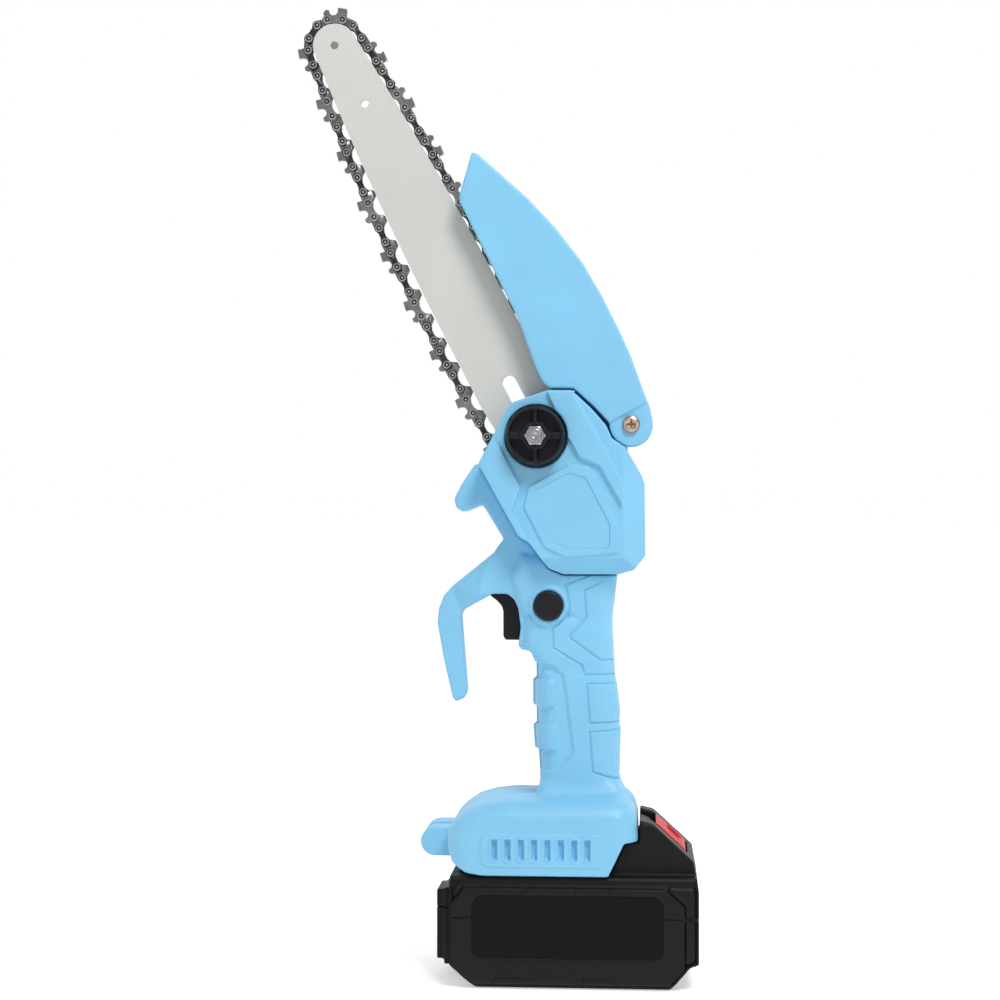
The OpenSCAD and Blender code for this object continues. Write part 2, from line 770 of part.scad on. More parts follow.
module housing_near() {
    lug_web = [[14, 240], [25, 238], [26.2, 245], [28, 248.6], [22, 257.6], [19, 249]];
    // Closes the gap behind the cover's corner, inside the guard.
    guard_web = [
        [-1, 266.5], [2.8, 271.6], [12.2, 263.2], [19.2, 256], [21, 254.6], [19.8, 248], [17, 246], [8, 258]
    ];
    color(blue) difference() {
        union() {
            difference() {
                body_block(true);
                body_hollow(true);
                // Room for the chain, between the head's wall and the cover.
                between(-30, -6) polygon(inset(head_outline, -0.6));
            }
            difference() {
                between(-6, 0) polygon(head_outline);
                between(-3.5, 1) polygon(inset(head_outline, wall));
            }
            near_bosses();
            between(-9.1, -6) bar_frame() round_rect(-15, 15, 19, 46, 5);
            rod(sprocket_x, sprocket_z, 10.6, -8, 0);
            rod(lug_x, lug_z, 7.4, lug_y[0], lug_y[1]);
            between(-6, lug_y[1]) polygon(lug_web);
            between(-6, lug_y[1]) polygon(guard_web);
            intersection() {
                between(lug_y[0], lug_y[1]) polygon(lug_web);
                between(lug_y[0], lug_y[1]) translate([lug_x, lug_z]) circle(9.6);
            }
        }
        trigger_way();
        near_screw_holes();
        rod(button_x, button_z, button_r + 0.1, -30, -11);
        rod(button_x, button_z, 3.3, -20, 1);
        rod(sprocket_x, sprocket_z, 5.2, -20, 5);
        rod(sprocket_x, sprocket_z, bearing_r + 0.02, front_bearing_y, 5);
        between(-20, 5) bar_frame() translate([0, stud_at]) circle(3.05);
        tension_channel();
        tension_way();
        rod(lug_x, lug_z, pivot_r + 0.05, -30, 5);
        rod(lug_x, lug_z, 6.6, -9, -2);
        vents(-40, -foot_half + vent_depth);
    }
}

module housing_far() {
    color(blue) difference() {
        union() {
            difference() {
                union() {
                    body_block(false);
                    between(0, 18) polygon(head_outline);
                    rod(motor_x, motor_z, 21, 0, motor_end);
                }
                body_hollow(false);
                between(-1, 18 - wall) polygon(inset(head_outline, wall));
                rod(motor_x, motor_z, 21 - wall, -1, motor_end - wall);
            }
            far_bosses();
            for (i = [0:3]) boss(plate_bolt(i), 3, gear_plate_y[1], 17);
        }
        trigger_way();
        far_screw_holes();
        rod(button_x, button_z, button_r + 0.1, 11, 30);
        rod(button_x, button_z, 3.3, -1, 20);
        for (i = [0:3]) boss(plate_bolt(i), 1.52, 0, gear_plate_y[1] + 3.7);
        rod(motor_x, motor_z, motor_r + 0.05, gear_plate_y[1], motor_y[1] + 0.2);
        vents(foot_half - vent_depth, 40);
        for (i = [-3:3]) between(40, 60)
            round_rect(motor_x + 4 * i - 1, motor_x + 4 * i + 1,
                motor_z - 12 + abs(i) * 1.5, motor_z + 12 - abs(i) * 1.5, 0.9);
    }
}

module housing_screws() {
    color(steel) for (i = [0:len(screw_places) - 1]) {
        p = screw_places[i];
        seat = screw_seat[i];
        rod(p[0], p[1], 1.24, -screw_depth[i], seat);
        difference() {
            rod(p[0], p[1], 2.7, seat, seat + 2);
            box(p[0] - 1.4, p[0] + 1.4, seat + 1, seat + 5, p[1] - 0.3, p[1] + 0.3);
            box(p[0] - 0.3, p[0] + 0.3, seat + 1, seat + 5, p[1] - 1.4, p[1] + 1.4);
        }
    }
}

// ---------- sprocket cover and its knob ----------

cover_face = -26;
cover_back = -6.05;
plate_left = [
    [-41.6, 235.8], [-34.8, 249.1], [-22.4, 225.4], [-26.2, 214.5], [-18.8, 200.2], [-23.4, 203.1]
];
plate_right = [
    [-10.4, 268.5], [0.8, 269.1], [15.5, 243], [24.1, 226.5], [23.7, 216.8],
    [13.2, 235.2], [4.3, 238.9], [-2.5, 250.5]
];
panel_outer = [
    [-0.8, 235.1], [8.6, 234.4], [21.9, 206.9], [22.2, 195.6], [-2.1, 193.6],
    [-11.8, 198.6], [-21, 216.2], [-18.7, 225.4]
];
panel_inner = [
    [-0.4, 231.4], [6.8, 229.3], [17.6, 208.4], [17.6, 199.2], [16.1, 197.4],
    [-2.2, 197.3], [-9.8, 200.9], [-17.6, 216.1], [-15.3, 223.9]
];
stud = bar_point(0, stud_at);
knob_r = 13.8;
recess_r = 14.4;
recess_y = -22.6;

// Where the bar and both runs of the chain leave the cover.
bar_exit = [
    [-60, 222], [-41.9, 236.1], [-36, 233], [-30, 245], [-24, 250],
    [2, 262], [3, 268.5], [4, 290], [-60, 290]
];

// Cuts the cover's lower and right-hand edges to slopes, moved in by d.
module cover_slopes(d) {
    across(-60, 60) polygon([
        [-26.2 + d, 193.4], [-18.4 + d, 185.4], [-18.4 + d, 170], [-60, 170], [-60, 228]
    ]);
    translate([0, 0, 180]) linear_extrude(66)
        polygon([[24.2, -26.2 + d], [34.4, -17.6 + d], [60, -17.6 + d], [60, -60], [-12, -60]]);
}

module sprocket_cover() {
    color(blue) difference() {
        union() {
            difference() {
                between(cover_face, cover_back) polygon(head_outline);
                difference() {
                    between(cover_face + wall, 0) polygon(inset(head_outline, wall));
                    cover_slopes(1.4 * wall);
                }
                cover_slopes(0);
                between(cover_face + wall, 0) polygon(bar_exit);
            }
            between(cover_face - 2, cover_face) polygon(plate_left);
            between(cover_face - 2, cover_face) polygon(plate_right);
            between(cover_face - 1, cover_face) difference() {
                polygon(panel_outer);
                polygon(panel_inner);
            }
            between(cover_face - 0.5, cover_face) polygon(panel_inner);
            rod(stud[0], stud[1], recess_r + 2, cover_face, recess_y + 2.2);
            rod(stud[0], stud[1], 7.5, recess_y, bar_y - bar_half_t - sliding_gap);
        }
        rod(stud[0], stud[1], recess_r, -40, recess_y);
        rod(stud[0], stud[1], 3.3, -40, 0);
        // The raised rim of the recess stays inside the cover's outline.
        between(-40, 0)
            polygon([[-60, 240], [-35, 249.4], [-28.4, 262], [-26, 264.1], [-12.4, 268.8], [-60, 300]]);
    }
}

module cover_knob() {
    top = recess_y - 12.2;
    color([0.12, 0.12, 0.14]) difference() {
        union() {
            rod(stud[0], stud[1], knob_r - 0.6, top + 1, recess_y - 0.2);
            rod(stud[0], stud[1], knob_r, recess_y - 4, recess_y - 1);
            rod(stud[0], stud[1], knob_r - 1, top, top + 1);
        }
        difference() {
            rod(stud[0], stud[1], knob_r - 2.2, top - 1, top + 4);
            between(top - 1, top + 4) translate(stud) {
                circle(7, $fn = 6);
                square([60, 3.4], center = true);
                square([1.6, 60], center = true);
            }
        }
        // The two side wings stand a little lower than the rim.
        difference() {
            rod(stud[0], stud[1], knob_r - 2.2, top - 1, top + 0.8);
            rod(stud[0], stud[1], 7.2, top - 2, top + 2);
        }
        between(top - 1, top + 5.4) translate(stud) circle(5.0, $fn = 6);
        rod(stud[0], stud[1], 3.3, -50, 0);
    }
}

module knob_nut() {
    top = recess_y - 12.2;
    color(steel) difference() {
        union() {
            between(top - 0.2, top + 5.4) translate(stud) circle(4.9, $fn = 6);
            rod(stud[0], stud[1], 4.1, top - 0.9, top);
        }
        rod(stud[0], stud[1], 3 + shaft_gap, -50, 0);
    }
}

module bar_stud() {
    color(steel) difference() {
        union() {
            rod(stud[0], stud[1], 3, recess_y - 14.2, -3.4);
            rod(stud[0], stud[1], 6.5, -3.4, -1.4);
        }
        rod(stud[0], stud[1], 1.2, recess_y - 20, recess_y - 13.4);
    }
}

module clamp_plate() {
    y = bar_y + bar_half_t + sliding_gap;
    color(steel) between(y, y + 1.1) bar_frame() difference() {
        round_rect(-14, 14, 20, 45, 4);
        translate([0, stud_at]) circle(3.1);
        translate([5.6, 31]) square([8.8, 30]);
    }
}

// ---------- chain tensioner ----------

block_y = [-10.2, -3.7];
screw_axis_y = -6.6;

// Lays children, drawn along +Z, on the tension screw's line.
module on_tension_line(along) {
    p = bar_point(pin_at[0], along);
    translate([p[0], screw_axis_y, p[1]]) rotate([0, -bar_lean, 0]) children();
}

module tension_block() {
    color(steel) difference() {
        union() {
            between(block_y[0] + 0.01, block_y[1]) bar_frame()
                translate(pin_at - [4.2, 4.5]) square([8.4, 9]);
            between(bar_y - bar_half_t + 0.3, block_y[0] + 1) bar_frame()
                translate(pin_at) circle(2.95);
        }
        on_tension_line(20) cylinder(h = 50, r = 1.5 + shaft_gap);
    }
}

module tension_screw() {
    color(steel) difference() {
        union() {
            on_tension_line(31.5) cylinder(h = 23, r = 1.5);
            on_tension_line(53.5) cylinder(h = 2, r = 2.4);
        }
        on_tension_line(54.5) translate([-3, -0.35, 0]) cube([6, 0.7, 3]);
    }
}

module tension_way() {
    on_tension_line(30) cylinder(h = 40, r = 1.6);
    on_tension_line(53.2) cylinder(h = 20, r = 2.7);
}

// ---------- chain guard ----------

guard_y = [-23, -1];
guard_wall = 2;
guard_spine = [
    [-44.8, 378.1], [-42.2, 377.2], [-19.3, 356.7], [-6.9, 343.4], [5.4, 327.5],
    [14.1, 312.5], [21.2, 298.4], [27.3, 285.2], [32.6, 270.3], [36.1, 261.5]
];
guard_inner = [
    [17.6, 254.6], [10.8, 261.9], [1.6, 270.1], [-9.5, 270.4], [-12.5, 272.9], [-16, 280.3],
    [-23.8, 302.1], [-34.3, 323.1], [-44.8, 344.1], [-50.5, 355.5], [-50.5, 358.5]
];
guard_outline = concat(
    guard_spine, arc([lug_x, lug_z], 9.9, 15, -170, 10), guard_inner
);
// The guard's near face stands proud of the lug that takes its pivot.
guard_face = concat(
    [for (i = [0:len(guard_spine) - 2]) guard_spine[i]], [[35, 264.2], [33.4, 263.2]], guard_inner
);
function shifted(p, d) = [for (i = [0:len(p) - 1])
    let (a = p[max(i - 1, 0)], b = p[min(i + 1, len(p) - 1)]) p[i] - d * turned(unit(a - b))];
guard_room = concat(
    shifted(guard_spine, -2.4), arc([lug_x, lug_z], 8, 40, -20, 5),
    [[42, 248], [42, 236], [0, 236], [-40, 300], [-75, 360], [-60, 395]]
);

module chain_guard() {
    color(blue) difference() {
        union() {
            between(guard_y[0], guard_y[1]) polygon(guard_outline);
            between(guard_y[0] - 1.4, guard_y[0]) polygon(guard_face);
        }
        between(guard_y[0] + guard_wall, guard_y[1] - guard_wall) polygon(guard_room);
        rod(lug_x, lug_z, pivot_r + 0.05, -40, 10);
    }
}

module guard_pivot_screw() {
    head_y = guard_y[0] - 0.3;
    recess = [2.1, 0.5];
    color(steel) difference() {
        union() {
            rod(lug_x, lug_z, pivot_r, head_y, guard_y[1] + 2.6);
            rod(lug_x, lug_z, 3.9, head_y - 0.7, head_y);
            rod(lug_x, lug_z, 3.5, head_y - 1.6, head_y);
        }
        for (a = [0, 1]) box(
            lug_x - recess[a], lug_x + recess[a], head_y - 4, head_y - 0.6,
            lug_z - recess[1 - a], lug_z + recess[1 - a]
        );
        rod(lug_x, lug_z, 1, head_y - 4, head_y - 0.6);
    }
}

module guard_pivot_nut() {
    y = guard_y[1] + 0.3;
    color(steel) difference() {
        between(y, y + 2.2) translate([lug_x, lug_z]) circle(3.9, $fn = 6);
        rod(lug_x, lug_z, pivot_r + 0.01, -10, 10);
    }
}

module guard_spring() {
    color(steel) translate([lug_x, -3.6, lug_z]) rotate([90, 0, 0])
        coil(5.2, 0.5, 3, 5);
}

// ---------- trigger, switch and lock button ----------

trigger_outline = concat(
    [[-38.1, 176.4], [-38, 175.4], [-34.6, 172.8], [-32.4, 170.4], [-31.7, 168]],
    [[-31.7, 156.4], [-30.6, 154.7], [-23.2, 154.7], [-23.2, 176.4]]
);
trigger_back = -23.2;
switch_front = -13.4;
plunger_r = 2.4;

module trigger() {
    color(black) {
        between(-6, 6) polygon(trigger_outline);
        translate([trigger_back - 1, 0, trigger_z]) rotate([0, 90, 0])
            cylinder(h = 14.5, r = plunger_r);
    }
}

module trigger_switch() {
    color([0.14, 0.14, 0.15]) difference() {
        union() {
            box(switch_front, 9, -8, 8, 140, 163.5);
            box(-4, 4, -4, 4, 136, 141);
        }
        translate([-30, 0, trigger_z]) rotate([0, 90, 0])
            cylinder(h = 30 - 2.2, r = plunger_r + 0.05);
    }
}

module trigger_spring() {
    color(steel) translate([trigger_back + 0.1, 0, trigger_z]) rotate([0, 90, 0])
        coil(3.4, 0.4, 5, switch_front - trigger_back - 0.2);
}

module lock_button() {
    near_face = -grip_half - 3.4;
    color(black) difference() {
        union() {
            rod(button_x, button_z, button_r, near_face + 0.6, -14);
            rod(button_x, button_z, button_r - 0.6, near_face, near_face + 0.6);
            rod(button_x, button_z, 3, -14, 14);
            rod(button_x, button_z, button_r, 14, grip_half + 0.4);
        }
        rod(button_x, button_z, button_r - 1.6, 15.6, 30);
    }
}

module lock_spring() {
    color(steel) translate([button_x, -11.1, button_z]) rotate([90, 0, 0])
        coil(4.4, 0.35, 2, 2.7);
}

// ---------- electrics in the body ----------

module controller_board() {
    color([0.1, 0.35, 0.2]) {
        box(-12, 24, -18, 18, 66, 67.6);
        box(-8, 2, -10, 10, 67.6, 72);
        for (y = [-12, 12]) translate([14, y, 67.6]) cylinder(h = 8, r = 3.5);
    }
}

module terminal_block() {
    color([0.16, 0.16, 0.17]) difference() {
        box(-42, -20, -17, 17, ceiling_z + wall + 0.1, 74);
        for (y = [-11, 11]) box(-40.2, -23.8, y - 0.45, y + 0.45, 50, 72);
    }
}

module terminal_blades() {
    color([0.8, 0.6, 0.3]) for (y = [-11, 11]) box(-40, -24, y - 0.4, y + 0.4, 56.5, 71.8);
}

module motor_leads() {
    lead_r = 1;
    color([0.7, 0.1, 0.08]) for (side = [-1, 1]) {
        wire([[side, side * 3, 72], [side, side * 3, 100], [side * 2, side * 3, 136]],
            lead_r, [0, 1, 0], 8);
        wire([[2 + 3 * side, 6, 163.5], [2 + 3 * side, 8, 184], [-1 + 3 * side, 9.4, 191],
            [-1.6 + 2.2 * side, 14.3, 200], [-1.6 + 2.2 * side, 14.3, 226.2]],
            lead_r, [1, 0, 0], 8);
    }
}

// ---------- battery ----------

pack_end = pack_length / 2;
pack_side = [
    [-pack_end, 10.5], [-42, 0], [45, 0], [pack_end, 10.5], [58, 12], [58, 44.3],
    [55.9, 56.3], [37.6, 73], [31.4, 74.6], [31.4, 64.4], [25.2, 64.9], [18.4, 50],
    [-pack_end, 50]
];
tower_neck = 20.2;
tower_flange = 25.2;

module pack_profile() {
    round_rect(-pack_half, pack_half, 0, deck_z, 5);
    round_rect(-27, 27, 10, 76, 6);
}

module pack_block() {
    intersection() {
        between(-pack_half, pack_half) polygon(pack_side);
        across(-80, 80) pack_profile();
    }
    box(-50.5, 19.5, -tower_neck, tower_neck, 49, 55);
    box(-50.5, 24, -tower_flange, tower_flange, 55, ceiling_z - 0.4);
    box(-58.5, -53, -14, 14, 6, 41);
    difference() {
        box(-62, -56, -12, 12, 8, 40);
        box(-60, -50, -9, 9, 11, 37);
    }
}

pack_inner = inset([
    [-pack_end, 10.5], [-42, 0], [45, 0], [pack_end, 10.5], [58, 12], [58, 44.3], [57.6, 48], [-pack_end, 48]
], 2.2);

latch_half = 15;

module pack_hollow() {
    intersection() {
        between(-34.8, 34.8) polygon(pack_inner);
        across(-80, 80) round_rect(-34.8, 34.8, 2.2, 46, 3);
    }
    // Slots for the saw's blades, open at the leading end.
    for (y = [-11, 11]) box(-60, -22, y - 1.2, y + 1.2, 55.5, 70);
    // Pocket of the latch, open at the slope and towards the foot.
    between(-latch_half - 0.3, latch_half + 0.3)
        polygon([[30, 65], [38.4, 57], [38.4, 47.5], [53, 47.5], [53, 90], [30, 90]]);
}

module label_sinks() {
    for (y = [-pack_half - 1, pack_half - 0.9]) between(y, y + 1.9)
        round_rect(-43.8, 42.1, 13.8, 42.2, 5);
}

module each_case_screw() {
    for (x = [-50, 51], y = [-31, 31]) translate([x, y, 0]) children();
}

module case_screw_holes() {
    each_case_screw() {
        translate([0, 0, -1]) cylinder(h = 11.8, r = 2);
        translate([0, 0, 5]) cylinder(h = 8.2, r = 1.15);
    }
}

module battery_case_lower() {
    color(black) difference() {
        intersection() {
            pack_block();
            box(-80, 80, -50, 50, -1, seam_z);
        }
        pack_hollow();
        label_sinks();
        case_screw_holes();
    }
    intersection() {
        pack_block();
        difference() {
            each_case_screw() cylinder(h = 14, r = 3);
            case_screw_holes();
        }
    }
}

module battery_case_upper() {
    color(black) difference() {
        intersection() {
            pack_block();
            box(-80, 80, -50, 50, seam_z, 90);
        }
        pack_hollow();
        label_sinks();
    }
}

module battery_label_plates() {
    color([0.11, 0.11, 0.12]) for (y = [-pack_half + 0.2, pack_half - 0.8])
        between(y, y + 0.6) round_rect(-43.6, 41.9, 14, 42, 4.8);
}

module battery_case_screws() {
    color(steel) each_case_screw() {
        translate([0, 0, 9]) cylinder(h = 1.8, r = 1.9);
        translate([0, 0, 10]) cylinder(h = 3, r = 1.1);
    }
}

cell_r = 9.1;
cell_step = 18.6;
cell_rows = [12.4, 32.2];

module each_cell() {
    for (i = [-2:2], z = cell_rows) translate([i * cell_step + 0.5, z]) children();
}

module battery_cells() {
    color([0.2, 0.5, 0.6]) between(-32.5, 32.5) each_cell() circle(cell_r);
}

module battery_cell_holders() {
    color([0.15, 0.15, 0.16]) for (y = [-27, 23]) between(y, y + 4) difference() {
        intersection() {
            round_rect(-46.4, 47.4, 2.6, 42.4, 3);
            polygon(inset(pack_inner, 0.4));
        }
        each_cell() circle(cell_r + 0.1);
    }
}

module battery_board() {
    color([0.1, 0.35, 0.2]) box(-44, 28, -20, 20, 43, 44.6);
}

module battery_terminals() {
    color([0.8, 0.6, 0.3]) for (y = [-11, 11], side = [-1, 1])
        box(-40, -26, y + side * 0.85 - 0.25, y + side * 0.85 + 0.25, 55.6, 61);
}

module latch_button() {
    color([0.75, 0.06, 0.07]) difference() {
        between(-latch_half, latch_half)
            polygon([[38.8, 72.2], [38.8, 52], [52.4, 52], [52.4, 59.6], [51.6, 60.7], [40.2, 71.2]]);
        translate([45.5, 0, 50]) cylinder(h = 8, r = 3.4);
        // A dished thumb rest.
        between(-latch_half + 3, latch_half - 3)
            polygon([[42, 72], [44.4, 65.9], [49, 61.7], [54, 60.4], [56, 70]]);
    }
}

module latch_nose() {
    color(black) between(-10, 10)
        polygon([[31.8, 72.6], [31.8, 67.6], [38.8, 61], [38.8, 68.2], [35.5, 71.2]]);
}

module latch_spring() {
    color(steel) translate([45.5, 0, 47.6]) coil(2.7, 0.35, 5, 10.2);
}

// ---------- every node ----------

housing_near();
housing_far();
housing_screws();
sprocket_cover();
cover_knob();
knob_nut();
bar_stud();
clamp_plate();
bar_plate_near();
bar_core();
bar_plate_far();
bar_nose_rivet();
tension_block();
tension_screw();
chain_drive_links();
chain_straps_near();
chain_straps_far();
chain_cutters_near();
chain_cutters_far();
chain_rivets();
sprocket();
sprocket_clip();
spindle();
drive_gear();
spindle_bearings();
gear_plate();
gear_plate_screws();
motor_can();
motor_magnets();
motor_shaft();
motor_armature();
motor_pinion();
chain_guard();
guard_pivot_screw();
guard_pivot_nut();
guard_spring();
trigger();
trigger_spring();
trigger_switch();
lock_button();
lock_spring();
controller_board();
terminal_block();
terminal_blades();
motor_leads();
battery_case_lower();
battery_case_upper();
battery_label_plates();
battery_case_screws();
battery_cells();
battery_cell_holders();
battery_board();
battery_terminals();
latch_button();
latch_nose();
latch_spring();
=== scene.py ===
"""Looks for the cordless pruning chainsaw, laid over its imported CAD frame."""

import json
import math

import bmesh
import bpy
import numpy as np
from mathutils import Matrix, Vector


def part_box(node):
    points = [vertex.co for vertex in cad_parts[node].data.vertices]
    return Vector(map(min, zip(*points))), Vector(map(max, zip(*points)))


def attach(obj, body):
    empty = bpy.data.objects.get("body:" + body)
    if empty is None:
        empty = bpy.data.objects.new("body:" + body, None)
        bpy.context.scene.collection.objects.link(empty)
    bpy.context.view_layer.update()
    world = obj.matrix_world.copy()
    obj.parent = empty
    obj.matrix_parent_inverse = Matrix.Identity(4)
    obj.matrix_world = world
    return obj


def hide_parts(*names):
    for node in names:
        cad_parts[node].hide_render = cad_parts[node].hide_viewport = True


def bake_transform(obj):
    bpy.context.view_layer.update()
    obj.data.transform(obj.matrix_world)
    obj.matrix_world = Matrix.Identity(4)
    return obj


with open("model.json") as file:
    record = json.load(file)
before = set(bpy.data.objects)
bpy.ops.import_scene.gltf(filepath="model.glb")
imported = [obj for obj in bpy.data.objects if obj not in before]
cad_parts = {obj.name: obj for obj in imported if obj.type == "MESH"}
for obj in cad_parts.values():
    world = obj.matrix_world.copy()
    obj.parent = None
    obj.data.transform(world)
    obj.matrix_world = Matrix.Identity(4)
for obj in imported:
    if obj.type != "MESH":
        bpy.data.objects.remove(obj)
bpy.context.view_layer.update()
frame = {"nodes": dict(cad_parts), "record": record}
nodes = frame["nodes"]
MM = 0.001

# ---------- camera, floor and light, in metres ----------

AIM = Vector((-33.6, 0, 219.5)) * MM
CAMERA_AZIMUTH = math.radians(4)
CAMERA_DISTANCE = 1.0
CLIP_START = 0.01
VIEW_WIDTH = 0.466
SENSOR_WIDTH = 36
KEY_LIGHT = {"place": (0.4, -0.78, 1.25), "size": 0.5, "watts": 12.2}
FILL_LIGHT = {"place": (-1.3, -1.3, 0.7), "size": 1.1, "watts": 1.5}
FLOOR_SIZE = 40
# Y of a direction over which the surround brightens, and Y of the floor over which its glow rises.
SURROUND_FADE = (-0.3, 0.7)
SURROUND_STRENGTH = (0.35, 1.0)
FLOOR_FADE = (-0.3, 0)
FLOOR_GLOW = (0, 0.47)
WHITE = (1, 1, 1, 1)


def make_camera():
    data = bpy.data.cameras.new("camera")
    data.sensor_width = SENSOR_WIDTH
    data.lens = SENSOR_WIDTH * CAMERA_DISTANCE / VIEW_WIDTH
    data.clip_start = CLIP_START
    camera = bpy.data.objects.new("camera", data)
    bpy.context.collection.objects.link(camera)
    away = Vector((math.sin(CAMERA_AZIMUTH), -math.cos(CAMERA_AZIMUTH), 0))
    camera.location = AIM + away * CAMERA_DISTANCE
    camera.rotation_euler = (math.radians(90), 0, CAMERA_AZIMUTH)
    bpy.context.scene.camera = camera


def make_light(name, place, size, watts):
    data = bpy.data.lights.new(name, "AREA")
    data.shape = "DISK"
    data.size = size
    data.energy = watts
    light = bpy.data.objects.new(name, data)
    bpy.context.collection.objects.link(light)
    light.location = place
    light.rotation_euler = (AIM - Vector(place)).to_track_quat("-Z", "Y").to_euler()


def map_range(tree, value, source, target):
    """Maps a value from the source range to the target range."""
    node = tree.nodes.new("ShaderNodeMapRange")
    node.inputs["From Min"].default_value, node.inputs["From Max"].default_value = source
    node.inputs["To Min"].default_value, node.inputs["To Max"].default_value = target
    tree.links.new(value, node.inputs["Value"])
    return node.outputs["Result"]


def y_of(tree, vector):
    axes = tree.nodes.new("ShaderNodeSeparateXYZ")
    tree.links.new(vector, axes.inputs["Vector"])
    return axes.outputs["Y"]


def make_world():
    """A soft white surround, brighter behind the saw and dimmer in front of it."""
    world = bpy.data.worlds.new("studio")
    bpy.context.scene.world = world
    world.use_nodes = True
    tree = world.node_tree
    direction = tree.nodes.new("ShaderNodeTexCoord").outputs["Generated"]
    strength = map_range(tree, y_of(tree, direction), SURROUND_FADE, SURROUND_STRENGTH)
    background = tree.nodes["Background"]
    tree.links.new(strength, background.inputs["Strength"])
    background.inputs["Color"].default_value = WHITE


def make_studio():
    make_world()
    make_light("key", **KEY_LIGHT)
    make_light("fill", **FILL_LIGHT)
    bpy.ops.mesh.primitive_plane_add(size=FLOOR_SIZE)
    floor = bpy.context.object
    floor.name = "floor"
    floor.data.materials.append(studio_floor())
    bpy.context.scene.view_settings.view_transform = "Standard"


# ---------- materials ----------


NOISE_ROUGHNESS = 0.55
NOISE_RANGE = (0.3, 0.7)
BUMP_STRENGTH = 0.6
UNSTRETCHED = (1, 1, 1)
ALONG_BAR = (1, 1, 0.15)
ROUND_WINDING = (1, 1, 4)


class Shader:
    """A Principled material whose colour, roughness and grain vary with procedural noise."""

    def __init__(self, name, colour, roughness, metallic=0.0, specular=0.5):
        self.material = bpy.data.materials.new(name)
        self.material.use_nodes = True
        self.tree = self.material.node_tree
        self.principled = self.tree.nodes["Principled BSDF"]
        self.colour = colour
        self.roughness = roughness
        self.principled.inputs["Metallic"].default_value = metallic
        self.principled.inputs["Specular IOR Level"].default_value = specular
        self.principled.inputs["Base Color"].default_value = (*colour, 1)
        self.principled.inputs["Roughness"].default_value = roughness
        self.place = self.tree.nodes.new("ShaderNodeTexCoord").outputs["Object"]
        self.normal = None

    def noise(self, scale, detail, stretch=UNSTRETCHED):
        mapping = self.tree.nodes.new("ShaderNodeMapping")
        mapping.inputs["Scale"].default_value = stretch
        self.tree.links.new(self.place, mapping.inputs["Vector"])
        texture = self.tree.nodes.new("ShaderNodeTexNoise")
        texture.inputs["Scale"].default_value = scale
        texture.inputs["Detail"].default_value = detail
        texture.inputs["Roughness"].default_value = NOISE_ROUGHNESS
        self.tree.links.new(mapping.outputs["Vector"], texture.inputs["Vector"])
        return texture.outputs["Fac"]

    def tint(self, dark, light, scale, detail, contrast=NOISE_RANGE):
        """Clouds the colour between dark and light shares of itself."""
        share = map_range(self.tree, self.noise(scale, detail), contrast, (0, 1))
        mix = self.tree.nodes.new("ShaderNodeMix")
        mix.data_type = "RGBA"
        mix.inputs["A"].default_value = (*[c * dark for c in self.colour], 1)
        mix.inputs["B"].default_value = (*[min(1, c * light) for c in self.colour], 1)
        self.tree.links.new(share, mix.inputs["Factor"])
        self.tree.links.new(mix.outputs["Result"], self.principled.inputs["Base Color"])

    def rough(self, spread, scale, detail, stretch=UNSTRETCHED):
        """Lets the roughness wander by the spread, up and down."""
        target = (self.roughness - spread, self.roughness + spread)
        noise = self.noise(scale, detail, stretch)
        value = map_range(self.tree, noise, NOISE_RANGE, target)
        self.tree.links.new(value, self.principled.inputs["Roughness"])

    def bump(self, depth, scale, detail, stretch=UNSTRETCHED):
        """Adds a grain of the given depth on top of any before it."""
        noise = self.noise(scale, detail, stretch)
        node = self.tree.nodes.new("ShaderNodeBump")
        node.inputs["Distance"].default_value = depth
        node.inputs["Strength"].default_value = BUMP_STRENGTH
        self.tree.links.new(noise, node.inputs["Height"])
        if self.normal is not None:
            self.tree.links.new(self.normal, node.inputs["Normal"])
        self.normal = node.outputs["Normal"]
        self.tree.links.new(self.normal, self.principled.inputs["Normal"])


def moulded_plastic(name, colour, roughness, grain=0.00004, specular=0.5):
    shader = Shader(name, colour, roughness, specular=specular)
    shader.tint(0.96, 1.03, scale=35, detail=4)
    shader.rough(0.06, scale=160, detail=5)
    shader.bump(grain, scale=2600, detail=2)
    return shader.material


def gloss_plastic(name, colour, roughness, specular=0.5):
    shader = Shader(name, colour, roughness, specular=specular)
    shader.tint(0.92, 1.05, scale=60, detail=3)
    shader.rough(0.05, scale=220, detail=5)
    shader.bump(0.00001, scale=700, detail=2)
    return shader.material


def worked_metal(name, colour, roughness, stretch=UNSTRETCHED, wear=0.12, scratch=0.00001):
    shader = Shader(name, colour, roughness, metallic=1.0)
    shader.tint(1 - wear, 1 + wear / 2, scale=240, detail=6)
    shader.rough(0.07, scale=420, detail=6, stretch=stretch)
    shader.bump(scratch, scale=1500, detail=4, stretch=stretch)
    return shader.material


def bar_coating(name, colour, roughness):
    """A pale blasted finish with faint lengthwise handling marks."""
    shader = Shader(name, colour, roughness, metallic=0.15)
    shader.tint(0.965, 1.03, scale=14, detail=5)
    shader.rough(0.07, scale=90, detail=5, stretch=(1, 1, 0.25))
    shader.bump(0.00002, scale=3200, detail=3)
    shader.bump(0.000012, scale=260, detail=5, stretch=(1, 1, 0.12))
    return shader.material


def circuit_board(name, colour, roughness):
    shader = Shader(name, colour, roughness)
    shader.tint(0.7, 1.6, scale=500, detail=2, contrast=(0.47, 0.53))
    shader.rough(0.1, scale=300, detail=3)
    shader.bump(0.00003, scale=500, detail=2)
    return shader.material


